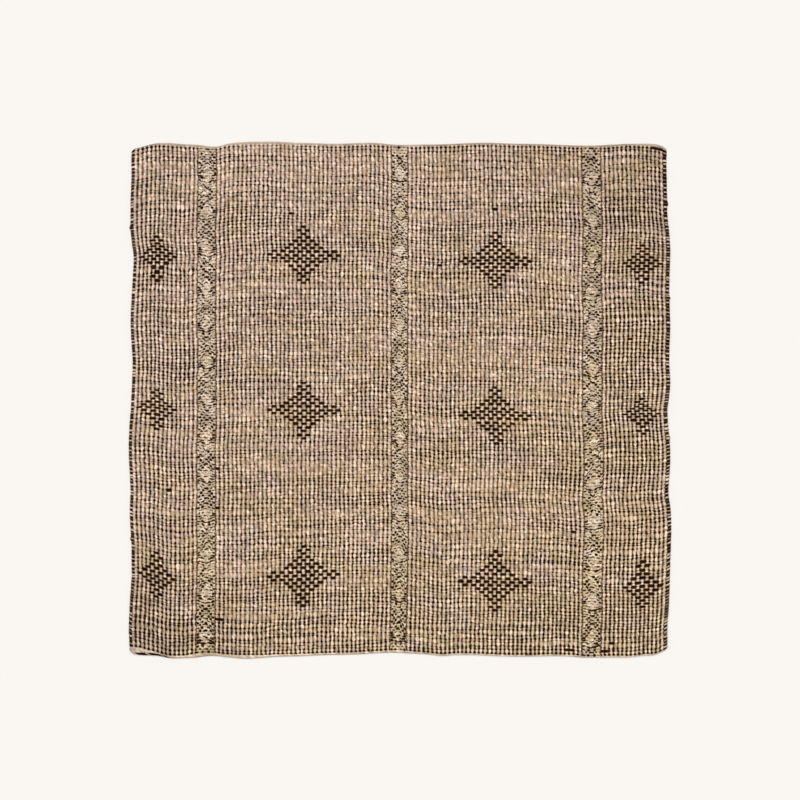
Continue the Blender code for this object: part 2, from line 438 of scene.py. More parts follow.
def pick_lines(first, last):
    """Counts and heights of every yarn edge over the ribs from first to last."""
    column = np.arange((last - first) * STEPS + 1)
    rib = first + column // STEPS
    step = column % STEPS
    near_warp = rib + (step > STEPS // 2)
    across = (first + column / STEPS)[:, None]
    pick = np.arange(PICKS, dtype=float)[None, :]
    odd = np.sin(np.pi * step / STEPS)[:, None] ** 2

    here = dashes[rib][:, :PICKS]
    beside = dashes[rib - 1][:, :PICKS] & (step == 0)[:, None]
    dash = here | beside
    dot = DOT_SHARE[step][:, None] * dots[near_warp][:, :PICKS]
    thick = DASH_REACH[step][:, None] * (1.0 + 0.2 * drift(across * 0.9, pick * 0.9, 21))
    reach = np.where(dash, thick, np.maximum(HIDDEN_REACH, dot))
    middle = dark_middles(across, pick, calm[rib][:, :PICKS])
    lower, upper = yarn_edges(middle, reach)

    bulge = 0.3 * drift(across * 0.13, pick * 0.93, 22) + 0.4 * drift(across * 0.9, pick * 0.9, 23)
    lift = SLIP_SHARE[step][:, None] * lifts[near_warp][:, :PICKS]
    crown = VALLEY + (CROWN + bulge * MM - VALLEY) * np.maximum(odd ** 0.5, lift)
    crease = crown - CREASE_DEPTH * odd - CREASE_IN_VALLEY
    over = np.where(dash, DOT_HEIGHT + (DASH_HEIGHT - DOT_HEIGHT) * odd ** 0.5, crease)
    dark = np.where(step[:, None] == 0, np.maximum(over, DOT_HEIGHT), over)

    last_edge = np.full((len(column), 1), float(PICKS))
    following = np.concatenate([lower[:, 1:], last_edge], axis=1)
    counts = np.stack([lower, middle, upper, (upper + following) / 2], 2)
    heights = np.stack([crease, dark, crease, crown], 2)
    counts = np.concatenate([counts.reshape(len(column), -1), last_edge], axis=1)
    heights = np.concatenate([heights.reshape(len(column), -1), crease[:, -1:]], axis=1)
    return across, counts.T, heights.T


sample = pick_lines(20, 22)
print("yarn edges in two ribs", sample[1].shape, "heights", sample[2].min(), sample[2].max())

# %% [markdown]
# ## Closing each section
# One mesh for the whole cloth would be too heavy to handle, so the cloth is cut into sections
# along even warps, where a column of dots hides the joint. Each section is closed: the woven top,
# a flat underside with one face for every rib and three picks, and walls between the two. At
# both ends the underside rises to leave room for the hem that is turned under.

# %% Faces, maps and finished meshes
NATURAL, DARK, REVERSE = 0, 1, 2
LINE_PICKS = np.array([0.0, 0.125, 0.25, 0.625])
SHARP_ANGLE = math.radians(62)


def woven_lines(count):
    """The pick that each line of a woven top counts as, and what each row of faces is made of."""
    line = np.arange(count)
    yarns = np.where(line[:-1] % LINES < LINES // 2, DARK, NATURAL)
    return line // LINES + LINE_PICKS[line % LINES], yarns


def grid_faces(rows, columns, start=0):
    """Faces of a grid whose vertices run along each row in turn."""
    corner = (np.arange(rows)[:, None] * (columns + 1) + np.arange(columns)[None, :]).ravel()
    corner = corner + start
    return np.stack([corner, corner + 1, corner + columns + 2, corner + columns + 1], 1)


def flat_map(rows, columns, low, high, folds):
    """Flat places for a long grid's corners, folded side by side between low and high."""
    rows_in_fold = math.ceil(rows / folds)
    row = np.repeat(np.arange(rows), columns)
    column = np.tile(np.arange(columns), rows)
    fold = row // rows_in_fold
    corners = []
    for right, up in ((0, 0), (1, 0), (1, 1), (0, 1)):
        u = (fold + (column + right) / columns) / folds
        v = (row - fold * rows_in_fold + up) / rows_in_fold
        corners.append(np.stack([low + (high - low) * u, v], 1))
    return np.stack(corners, 1)


def narrow_map(corners, low, high):
    """Flat places for faces that are never looked at, in a narrow strip."""
    place = np.arange(corners)
    return np.stack([low + (high - low) * (place % 2), place / corners], 1)


def finish_mesh(name, points, faces, weave, flat, wears, sunk, materials):
    """Make the object with its two maps, its yarns and its depth."""
    mesh = bpy.data.meshes.new(name)
    mesh.from_pydata(points.tolist(), [], faces)
    corner = np.empty(len(mesh.loops), np.int64)
    mesh.loops.foreach_get("vertex_index", corner)
    for layer_name, layer in (("Weave", weave[corner]), ("OFBake", flat)):
        made = mesh.uv_layers.new(name=layer_name, do_init=False)
        made.uv.foreach_set("vector", layer.astype(np.float32).ravel())
    # how far each point lies below the crowns: the mask for the painted valley shade
    depth = mesh.attributes.new("sunk", "FLOAT", "POINT")
    depth.data.foreach_set("value", sunk.astype(np.float32))
    for material in materials:
        mesh.materials.append(material)
    mesh.polygons.foreach_set("material_index", wears.astype(np.int32))
    mesh.set_sharp_from_angle(angle=SHARP_ANGLE)
    mesh.update()
    piece = bpy.data.objects.new(name, mesh)
    bpy.context.scene.collection.objects.link(piece)
    return piece


def depth_below_crown(heights):
    return np.clip((CROWN - heights) / (CROWN - VALLEY), 0, 1).ravel()


print("yarns of a pick's rows of faces", woven_lines(LINES + 1)[1])

# %% [markdown]
# A section needs an underside and walls, or the rug would be an open shell. The underside can be
# coarse, because it is flat. The walls between are many-sided faces, so that every point of the
# fine top edge meets the coarse bottom edge without gaps.

# %% Build a closed section from its woven top
BOTTOM_PICKS = 3
HEM_FLAP_THICKNESS = 2.4 * MM


def underside(first, last):
    """Counts and heights of the flat underside."""
    ribs = np.arange(first, last + 1.0)[None, :]
    picks = np.arange(0, PICKS + 1.0, BOTTOM_PICKS)[:, None]
    from_end = np.minimum(picks, PICKS - picks)
    height = HEM_FLAP_THICKNESS * (from_end < BOTTOM_PICKS + 0.5) + 0 * ribs
    return ribs + 0 * picks, picks + 0 * ribs, height


def section_walls(lines, columns, low_rows, low_columns, start):
    """Many-sided faces from the border of the woven top down to the underside."""
    walls = []
    width, low_width = columns + 1, low_columns + 1
    breaks = np.round(np.linspace(0, lines, low_rows + 1)).astype(int)
    for row in range(low_rows):
        run = np.arange(breaks[row], breaks[row + 1] + 1) * width
        low = start + np.array([row, row + 1]) * low_width
        walls.append([*run.tolist(), int(low[1]), int(low[0])])
        run = run[::-1] + columns
        low = low + low_columns
        walls.append([*run.tolist(), int(low[0]), int(low[1])])
    breaks = np.round(np.linspace(0, columns, low_columns + 1)).astype(int)
    for column in range(low_columns):
        run = np.arange(breaks[column], breaks[column + 1] + 1)
        low = start + np.array([column, column + 1])
        walls.append([*run[::-1].tolist(), int(low[0]), int(low[1])])
        run = run + lines * width
        low = low + low_rows * low_width
        walls.append([*run.tolist(), int(low[1]), int(low[0])])
    return walls


def woven_section(name, first, last, top, pace, folds):
    """A closed section of cloth from its woven top; pace scales the picks of its weave map."""
    across, picks, heights = top
    lines, columns = heights.shape[0] - 1, heights.shape[1] - 1
    line_picks, yarns = woven_lines(lines + 1)
    weave_picks = np.broadcast_to(pace * line_picks[:, None], heights.shape)
    x, y = cloth_place(across, picks)
    points = np.stack([x, y, heights], 2).reshape(-1, 3)
    low_ribs, low_picks, low_heights = underside(first, last)
    x, y = cloth_place(low_ribs, low_picks)
    low_points = np.stack([x, y, low_heights], 2).reshape(-1, 3)
    low_rows, low_columns = low_ribs.shape[0] - 1, low_ribs.shape[1] - 1

    low_faces = grid_faces(low_rows, low_columns, len(points))[:, ::-1]
    walls = section_walls(lines, columns, low_rows, low_columns, len(points))
    flat = np.concatenate([
        flat_map(lines, columns, 0.0, 0.93, folds).reshape(-1, 2),
        flat_map(low_rows, low_columns, 0.94, 0.985, 1)[:, ::-1].reshape(-1, 2),
        narrow_map(sum(len(wall) for wall in walls), 0.99, 0.998),
    ])
    weave = np.concatenate([
        np.stack([across, weave_picks], 2).reshape(-1, 2),
        np.stack([low_ribs, low_picks], 2).reshape(-1, 2),
    ])
    wears = np.concatenate([
        np.repeat(yarns, columns),
        np.full(len(low_faces), REVERSE),
        np.full(len(walls), NATURAL),
    ])
    return finish_mesh(
        name,
        np.concatenate([points, low_points]),
        grid_faces(lines, columns).tolist() + low_faces.tolist() + walls,
        weave,
        flat,
        wears,
        # the underside's points count as a little sunk, so the walls take a little painted shade
        # low down
        np.concatenate([depth_below_crown(heights), np.full(len(low_points), 0.3)]),
        CLOTH,
    )


print("points under fifteen ribs", underside(0, 15)[0].size)

# %% [markdown]
# Cords and hems are tubes: a ring of points every few millimetres along the edge, joined into
# faces and closed at both ends. A curve with a bevel would be quicker, but its section can't change
# along the way, and a hand-made edge does.

# %% Build a closed tube
def tube(name, rings, weave, sunk, wears, folds, materials):
    """A closed tube from rings of points along its length; wears goes ring by ring."""
    count, size = rings.shape[:2]
    ring = np.arange(count - 1)[:, None] * size
    point = np.arange(size)[None, :]
    here, beside = ring + point, ring + (point + 1) % size
    sides = np.stack([here, beside, beside + size, here + size], 2).reshape(-1, 4)
    caps = [list(range(size))[::-1], list(range((count - 1) * size, count * size))]
    flat = np.concatenate([
        flat_map(count - 1, size, 0.0, 0.97, folds).reshape(-1, 2),
        narrow_map(2 * size, 0.98, 0.995),
    ])
    wears = np.append(wears.ravel(), [NATURAL, NATURAL])
    return finish_mesh(
        name, rings.reshape(-1, 3), sides.tolist() + caps, weave.reshape(-1, 2), flat, wears,
        sunk.ravel(), materials,
    )


print("flat map of a tube's first face", flat_map(2, 9, 0.0, 0.97, 1)[0].round(2).tolist())

# %% [markdown]
# ## Shared shader effects
# All jute in the rug shares four effects, so each is a node group with its own inputs: the
# colour of a yarn drifts along it and jumps from one throw to the next, the fibres are twisted,
# shade is painted low in the cloth, and the lightest colours are paled, partly a painted sheen on
# the crowns. Small helpers add and link the nodes, so that each group reads as a list of steps.

# %% Node helpers
def new_group(name, inputs, outputs):
    """A shader group with named sockets: (name, type, default) in, (name, type) out."""
    group = bpy.data.node_groups.new(name, "ShaderNodeTree")
    for socket_name, kind, default in inputs:
        socket = group.interface.new_socket(socket_name, in_out="INPUT", socket_type=kind)
        socket.default_value = default
    for socket_name, kind in outputs:
        group.interface.new_socket(socket_name, in_out="OUTPUT", socket_type=kind)
    return group, group.nodes.new("NodeGroupInput"), group.nodes.new("NodeGroupOutput")


def node(tree, kind, links=(), **settings):
    """A node with its settings, its input values and its links in one call."""
    made = tree.nodes.new("ShaderNode" + kind)
    for name, value in settings.items():
        setattr(made, name, value)
    for socket, source in links:
        if isinstance(source, bpy.types.NodeSocket):
            tree.links.new(source, made.inputs[socket])
        else:
            made.inputs[socket].default_value = source
    return made


def math_node(tree, operation, *values):
    return node(tree, "Math", list(enumerate(values)), operation=operation).outputs[0]


def mix_colour(tree, share, first, second, blend_type="MIX"):
    mixed = node(tree, "Mix", [(0, share), (6, first), (7, second)], data_type="RGBA")
    mixed.blend_type = blend_type
    return mixed.outputs[2]


def scaled_colour(tree, colour, level):
    grey = node(tree, "CombineXYZ", [(0, level), (1, level), (2, level)]).outputs[0]
    return mix_colour(tree, 1.0, colour, grey, "MULTIPLY")


def scaled_place(tree, rib, rib_scale, pick, pick_scale, layer):
    """A place for noise: counts of ribs and picks, each scaled, on a layer of its own."""
    links = [
        (0, math_node(tree, "MULTIPLY", rib, rib_scale)),
        (1, math_node(tree, "MULTIPLY", pick, pick_scale)),
        (2, layer),
    ]
    return node(tree, "CombineXYZ", links).outputs[0]


def between(tree, value, low, high):
    """A value's smooth rise from 0 at low to 1 at high."""
    links = [("Value", value), ("From Min", low), ("From Max", high)]
    return node(tree, "MapRange", links, interpolation_type="SMOOTHSTEP").outputs[0]


FLOAT, COLOUR = "NodeSocketFloat", "NodeSocketColor"
print("groups will pass on", FLOAT, "and", COLOUR)

# %% [markdown]
# The drift group reads the weave map. Hanks of jute differ, so wide patches lean towards a warm
# or a straw shade, more to straw at the foot and on the right, and duller hanks went in at the
# right of the head and at the left of the foot. Rounding the pick count down gives every throw its
# own number: noise stretched along the throw makes whole throws lighter or darker, and plain
# random numbers do the same for each single float. An image could hold all this, but it would blur
# close up and would not follow the yarns.

# %% Yarn drift group
STRAW_PER_RIB = 0.0012          # how the shade leans towards straw to the right,
STRAW_PER_PICK = -0.0015        # and away from it towards the head
WARM_TO_STRAW = (0.33, 0.63)
DULLEST = 0.15                  # how much darker the duller hanks are
DULL_AT_HEAD_RIGHT = (9000.0, 17500.0)      # ribs times picks, from the foot's left
DULL_AT_FOOT_LEFT = (12500.0, 17800.0)      # ribs times picks, from the head's right


def yarn_drift_group():
    group, inside, outside = new_group(
        "Yarn Drift",
        [("Warm Shade", COLOUR, (1, 1, 1, 1)), ("Straw Shade", COLOUR, (1, 1, 1, 1)),
         ("Throw Change", FLOAT, 0.2), ("Float Change", FLOAT, 0.2)],
        [("Colour", COLOUR)],
    )
    weave = node(group, "UVMap", uv_map="Weave").outputs[0]
    split = node(group, "SeparateXYZ", [(0, weave)])
    rib, pick = split.outputs[0], split.outputs[1]
    throw = math_node(group, "FLOOR", math_node(group, "SUBTRACT", pick, 0.002))
    patch_place = scaled_place(group, rib, 0.10, throw, 0.12, 0.0)
    patch = node(group, "TexNoise", [("Vector", patch_place), ("Scale", 1.0), ("Detail", 2.0)])
    lean = math_node(group, "MULTIPLY_ADD", rib, STRAW_PER_RIB, patch.outputs[0])
    lean = math_node(group, "MULTIPLY_ADD", pick, STRAW_PER_PICK, lean)
    shade = mix_colour(
        group, between(group, lean, *WARM_TO_STRAW),
        inside.outputs["Warm Shade"], inside.outputs["Straw Shade"],
    )
    throw_place = scaled_place(group, rib, 0.09, throw, 0.83, 7.3)
    along_throw = node(group, "TexNoise", [
        ("Vector", throw_place), ("Scale", 1.0), ("Detail", 1.0),
    ]).outputs[0]
    wide_place = scaled_place(group, rib, 0.07, throw, 0.09, 3.1)
    wide = node(group, "TexNoise", [("Vector", wide_place), ("Scale", 1.0), ("Detail", 1.0)])
    tone = math_node(group, "MULTIPLY_ADD", wide.outputs[0], 0.5, along_throw)
    tone = math_node(group, "SUBTRACT", tone, 0.75)
    tone = math_node(group, "MULTIPLY", tone, inside.outputs["Throw Change"])
    float_place = node(group, "CombineXYZ", [(0, math_node(group, "FLOOR", rib)), (1, throw)])
    each = node(
        group, "TexWhiteNoise", [("Vector", float_place.outputs[0])], noise_dimensions="2D",
    )
    swing = math_node(group, "SUBTRACT", each.outputs["Value"], 0.5)
    swing = math_node(group, "MULTIPLY", swing, inside.outputs["Float Change"])
    level = math_node(group, "ADD", 1.0, math_node(group, "ADD", tone, swing))
    from_foot_left = math_node(group, "MULTIPLY", rib, pick)
    from_head_right = math_node(
        group, "MULTIPLY", math_node(group, "SUBTRACT", RIBS, rib),
        math_node(group, "SUBTRACT", PICKS, pick),
    )
    dull = math_node(
        group, "ADD", between(group, from_foot_left, *DULL_AT_HEAD_RIGHT),
        between(group, from_head_right, *DULL_AT_FOOT_LEFT),
    )
    level = math_node(group, "MULTIPLY_ADD", dull, -DULLEST, level)
    group.links.new(scaled_colour(group, shade, level), outside.inputs["Colour"])
    return group


yarn_drift = yarn_drift_group()
print("group", yarn_drift.name)

# %% [markdown]
# Jute is a bundle of long flat fibres, twisted once. Fibres lie in clumps, so cells make the wide
# streaks of colour, and fine noise makes the narrow ones. Both are stretched along the yarn and
# sheared by the twist. The fine noise and a wave for the plies give the ridges for the bump.

# %% Fibre twist group
PLY_WAVE = 18.8                 # radians in a pick: three plies


def fibre_twist_group():
    group, inside, outside = new_group(
        "Fibre Twist",
        [("Twist", FLOAT, 0.6)],
        [("Streaks", FLOAT), ("Height", FLOAT)],
    )
    weave = node(group, "UVMap", uv_map="Weave").outputs[0]
    split = node(group, "SeparateXYZ", [(0, weave)])
    rib, pick = split.outputs[0], split.outputs[1]
    twisted = math_node(group, "MULTIPLY", rib, inside.outputs["Twist"])
    sheared = math_node(group, "ADD", twisted, pick)
    clump_place = scaled_place(group, rib, 2.2, sheared, 2.4, 0.0)
    clumps = node(group, "TexVoronoi", [("Vector", clump_place), ("Scale", 1.0)])
    clump = node(group, "SeparateXYZ", [(0, clumps.outputs["Color"])]).outputs[0]
    fine_place = scaled_place(group, rib, 2.4, sheared, 13.0, 5.0)
    fine = node(group, "TexNoise", [
        ("Vector", fine_place), ("Scale", 1.0), ("Detail", 3.0), ("Roughness", 0.65),
    ]).outputs[0]
    clump = math_node(group, "MULTIPLY", clump, 0.75)
    streaks = math_node(group, "MULTIPLY_ADD", fine, 0.5, clump)
    streaks = math_node(group, "SUBTRACT", streaks, 0.125)
    plies = math_node(group, "SINE", math_node(group, "MULTIPLY", sheared, PLY_WAVE))
    height = math_node(group, "MULTIPLY_ADD", plies, 0.22, fine)
    group.links.new(streaks, outside.inputs["Streaks"])
    group.links.new(height, outside.inputs["Height"])
    return group


fibre_twist = fibre_twist_group()
print("group", fibre_twist.name)

# %% [markdown]
# Shade is painted into the valleys, darker and browner the lower the cloth lies, and there the
# streaks of the fibres show more. The mesh carries how far each point lies below the crowns, so the
# same mask serves every yarn. Ambient occlusion would find the valleys too, but it costs render
# time and can't be baked as simply.

# %% Valley shade group
def valley_shade_group():
    group, inside, outside = new_group(
        "Valley Shade",
        [("Colour", COLOUR, (1, 1, 1, 1)), ("Painted Valley Shade", COLOUR, (0.5, 0.5, 0.5, 1)),
         ("Streaks", FLOAT, 0.5), ("Valley Streaks", FLOAT, 1.0)],
        [("Colour", COLOUR)],
    )
    sunk = node(group, "Attribute", attribute_name="sunk").outputs["Fac"]
    # painted shade: the lower a point lies below the crowns, the more its colour takes the valley
    # colour
    low = between(group, sunk, 0.15, 0.90)
    tint = mix_colour(group, low, (1.0, 1.0, 1.0, 1.0), inside.outputs["Painted Valley Shade"])
    swing = math_node(group, "SUBTRACT", inside.outputs["Streaks"], 0.5)
    swing = math_node(group, "MULTIPLY", swing, inside.outputs["Valley Streaks"])
    level = math_node(group, "MULTIPLY_ADD", swing, low, 1.0)
    tint = scaled_colour(group, tint, level)
    shaded = mix_colour(group, 1.0, inside.outputs["Colour"], tint, "MULTIPLY")
    group.links.new(shaded, outside.inputs["Colour"])
    return group


valley_shade = valley_shade_group()
print("group", valley_shade.name)

# %% [markdown]
# The lightest colours keep less of their colour. They are the palest fibres and, most of all, the
# crowns that the painted valley shade leaves light, so this is partly a painted sheen on the
# crowns, which look dry and pale and not orange.

# %% Pale fibre group
# where the paler colour and its painted sheen start and are full, by the red of the colour
PALER_FROM, PALER_FULL = 0.55, 0.97


def pale_fibre_and_sheen_group():
    group, inside, outside = new_group(
        "Pale Fibres and Sheen",
        [("Colour", COLOUR, (1, 1, 1, 1)), ("Colour Kept", FLOAT, 0.7)],
        [("Colour", COLOUR)],
    )
    yarn = inside.outputs["Colour"]
    red = node(group, "SeparateColor", [(0, yarn)]).outputs[0]
    pale = node(
        group, "HueSaturation", [("Saturation", inside.outputs["Colour Kept"]), ("Color", yarn)],
    ).outputs[0]
    # painted sheen: the lightest colours, mostly on the crowns, lose part of their colour
    paler_with_sheen = mix_colour(group, between(group, red, PALER_FROM, PALER_FULL), yarn, pale)
    group.links.new(paler_with_sheen, outside.inputs["Colour"])
    return group


pale_fibres_and_sheen = pale_fibre_and_sheen_group()
print("group", pale_fibres_and_sheen.name)

# %% [markdown]
# ## The yarns' finishes
# Both yarns are jute, dry and matt. The thick one is undyed: warm pinkish beige in some hanks,
# greenish straw in others. The bands' copy of it is a little more straw, as painted shade: it
# stands in for the browner colour that the painted valley shade gives the ground and that the
# bands' shallow creases barely get. The web of the hem at the head is duller. The thin yarn is dyed
# nearly black-brown. One function makes all four, because they differ only in their values.

# %% Natural, band, hem and dark jute
# the streaks make the painted valley shade uneven
VALLEY_STREAKS = 2.0            # how much more the streaks show in the valleys
# the painted sheen on the lightest colours keeps this share of their colour
COLOUR_KEPT = 0.70              # by the palest fibres


def jute_material(name, warm, straw, changes, streak_depth, painted_valley_shade, roughness, bump):
    """A jute yarn finish made from the four shared effects."""
    material = bpy.data.materials.new(name)
    material.use_nodes = True
    tree = material.node_tree
    surface = tree.nodes["Principled BSDF"]
    drifted = node(tree, "Group", node_tree=yarn_drift)
    drifted.inputs["Warm Shade"].default_value = (*warm, 1.0)
    drifted.inputs["Straw Shade"].default_value = (*straw, 1.0)
    drifted.inputs["Throw Change"].default_value = changes[0]
    drifted.inputs["Float Change"].default_value = changes[1]
    twisted = node(tree, "Group", node_tree=fibre_twist)
    streak = twisted.outputs["Streaks"]
    level = math_node(tree, "MULTIPLY_ADD", streak, 2 * streak_depth, 1.0 - streak_depth)
    streaked = scaled_colour(tree, drifted.outputs["Colour"], level)
    # painted shade in the valleys, in each finish's valley colour
    shaded = node(tree, "Group", [("Colour", streaked)], node_tree=valley_shade)
    shaded.inputs["Painted Valley Shade"].default_value = (*painted_valley_shade, 1.0)
    shaded.inputs["Valley Streaks"].default_value = VALLEY_STREAKS
    tree.links.new(streak, shaded.inputs["Streaks"])
    # paler lightest colours: partly the palest fibres, partly a painted sheen on the crowns
    paler_with_sheen = node(tree, "Group", [("Colour", shaded.outputs["Colour"])], node_tree=pale_fibres_and_sheen)
    paler_with_sheen.inputs["Colour Kept"].default_value = COLOUR_KEPT
    relief = node(tree, "Bump", [
        ("Height", twisted.outputs["Height"]), ("Strength", bump), ("Distance", 0.35 * MM),
    ])
    rough = math_node(tree, "MULTIPLY_ADD", streak, -0.12, roughness)
    tree.links.new(paler_with_sheen.outputs["Colour"], surface.inputs["Base Color"])
    tree.links.new(rough, surface.inputs["Roughness"])
    tree.links.new(relief.outputs["Normal"], surface.inputs["Normal"])
    surface.inputs["Specular IOR Level"].default_value = 0.02
    return material


# each finish's valley colour is the colour of its painted shade
natural_jute = jute_material(
    "natural_jute", warm=(0.669, 0.517, 0.409), straw=(0.665, 0.509, 0.340), changes=(0.36, 0.36),
    streak_depth=0.34, painted_valley_shade=(0.357, 0.236, 0.120), roughness=0.93, bump=0.6,
)
# the bands' copy is a little more straw, standing in for painted valley shade their creases barely
# get
band_jute = jute_material(
    "band_jute", warm=(0.659, 0.509, 0.369), straw=(0.653, 0.500, 0.308), changes=(0.36, 0.36),
    streak_depth=0.34, painted_valley_shade=(0.357, 0.236, 0.120), roughness=0.93, bump=0.6,
)
hem_jute = jute_material(
    "hem_jute", warm=(0.47, 0.37, 0.285), straw=(0.45, 0.355, 0.25), changes=(0.4, 0.25),
    streak_depth=0.12, painted_valley_shade=(0.5, 0.44, 0.36), roughness=0.93, bump=0.5,
)
dark_jute = jute_material(
    "dark_jute", warm=(0.027, 0.0080, 0.0008), straw=(0.030, 0.0100, 0.0008), changes=(0.6, 0.6),
    streak_depth=0.40, painted_valley_shade=(0.8, 0.75, 0.7), roughness=0.90, bump=0.6,
)
print("finishes", natural_jute.name, band_jute.name, hem_jute.name, dark_jute.name)

# %% [markdown]
# The underside shows the same weave turned over: there the dark yarn dots the ribs' middles. It
# lies on the floor, so it is drawn on the flat face with the weave map, and costs no geometry.

# %% Reverse of the weave
def reverse_material():
    material = bpy.data.materials.new("reverse_weave")
    material.use_nodes = True
    tree = material.node_tree
    surface = tree.nodes["Principled BSDF"]
    weave = node(tree, "UVMap", uv_map="Weave").outputs[0]
    split = node(tree, "SeparateXYZ", [(0, weave)])
    drifted = node(tree, "Group", node_tree=yarn_drift)
    drifted.inputs["Warm Shade"].default_value = (0.54, 0.40, 0.30, 1.0)
    drifted.inputs["Straw Shade"].default_value = (0.50, 0.40, 0.27, 1.0)
    ribs = math_node(tree, "SINE", math_node(tree, "MULTIPLY", split.outputs[0], math.pi))
    ribs = math_node(tree, "POWER", math_node(tree, "ABSOLUTE", ribs), 8.0)
    picks = math_node(tree, "SINE", math_node(tree, "MULTIPLY", split.outputs[1], math.pi))
    picks = math_node(tree, "POWER", math_node(tree, "ABSOLUTE", picks), 3.0)
    dot = between(tree, math_node(tree, "MULTIPLY", ribs, picks), 0.25, 0.55)
    colour = mix_colour(tree, dot, drifted.outputs["Colour"], (0.05, 0.026, 0.014, 1.0))
    height = math_node(tree, "SUBTRACT", 1.0, ribs)
    relief = node(tree, "Bump", [("Height", height), ("Strength", 0.8), ("Distance", 1.5 * MM)])
    tree.links.new(colour, surface.inputs["Base Color"])
    tree.links.new(relief.outputs["Normal"], surface.inputs["Normal"])
    surface.inputs["Roughness"].default_value = 0.94
    return material


reverse_weave = reverse_material()
CLOTH = (natural_jute, dark_jute, reverse_weave)
print("finish", reverse_weave.name)

# %% [markdown]
# ## The ground sections
# With the plan, the chart and the finishes ready, the ground is woven: two sections of fifteen
# ribs along the sides, and four of about twenty between the bands. All read the same plan, so a
# pick runs on from one section to the next.

# %% Weave the six ground sections
GROUND_FOLDS = 2                # how often the flat map of a section is folded


def ground_section(name, first, last):
    across, counts, heights = pick_lines(first, last)
    top = (np.broadcast_to(across.T, counts.shape), counts, heights)
    return woven_section(name, first, last, top, 1.0, GROUND_FOLDS)


SECTIONS = (
    ("ground_left_edge", 0, 15),
    ("ground_left_outer", 19, 39),
    ("ground_left_inner", 39, 60),
    ("ground_right_inner", 64, 85),
    ("ground_right_outer", 85, 105),
    ("ground_right_edge", 109, 124),
)
cloth_pieces = [ground_section(*section) for section in SECTIONS]
for piece in cloth_pieces:
    print(piece.name, len(piece.data.polygons), "faces")

# %% [markdown]
# ## The pattern bands
# Each band is woven finer than the ground: eight narrow columns instead of four ribs, and picks
# three quarters as tall. Its chart is mirrored about the middle, and draws a chain of lozenges. The
# picks are drawn into a V and back, which gives the herringbone look. A band is charted and woven
# as its own section, because its columns and picks don't line up with the ground's.

# %% Weave the three bands
BAND_CHART = ("0", "1", "2", "13", "02", "13", "02", "13", "2", "3", "3", "2", "13", "1")
BAND_REPEATS = 13.15
BAND_COLUMNS = 8
BAND_STEPS = 4
BAND_MARGIN = 0.2
BAND_FOLDS = 4
BAND_PACE = 0.97                # of the weave map, so that the hanks change in other places
BAND_FOOT_PICKS = (26, 9)       # the dark yarn shows more towards the foot,
BAND_FOOT_MORE = 0.7            # by this much
EDGE_REACH = 0.07
CHARTED_REACH, PLAIN_REACH, HIDDEN_BAND_REACH = 0.32, 0.17, 0.01
CHEVRON = 1.1                   # how far a pick is drawn into a V, in fine picks
BAND_JITTER = 0.34
BAND_CROWN = 8.2 * MM
BAND_RIPPLE = 1.0 * MM
BAND_CREASE, EDGE_CREASE = 1.6 * MM, 0.3 * MM
EDGE_CROWN = VALLEY + 1.2 * MM


def charted_columns(row_from_head):
    """Columns where a fine pick's dark yarn floats, mirrored about the middle."""
    halves = [int(half) for half in BAND_CHART[row_from_head % len(BAND_CHART)]]
    middle = BAND_COLUMNS // 2
    return [middle + half for half in halves] + [middle - 1 - half for half in halves]


def band_columns(first, last):
    """Where a band's columns of points lie, and the step and the cell that each belongs to."""
    width = (last - first - 2 * BAND_MARGIN) / BAND_COLUMNS
    place = np.arange(BAND_COLUMNS * BAND_STEPS + 1)
    inner = first + BAND_MARGIN + place / BAND_STEPS * width
    across = np.concatenate([[first], inner, [last]])[None, :]
    step = np.concatenate([[0], place % BAND_STEPS, [0]])
    cell = np.concatenate([[-1], place // BAND_STEPS, [-1]])
    return across, step, cell


def charted_points(rows, step, cell):
    """For each row and column of points, whether the chart has the dark yarn float there."""
    charted = np.zeros((rows, len(step)), bool)
    for row in range(rows):
        for column in charted_columns(rows - 1 - row):
            charted[row] |= (cell == column) | ((cell == column + 1) & (step == 0))
    return charted


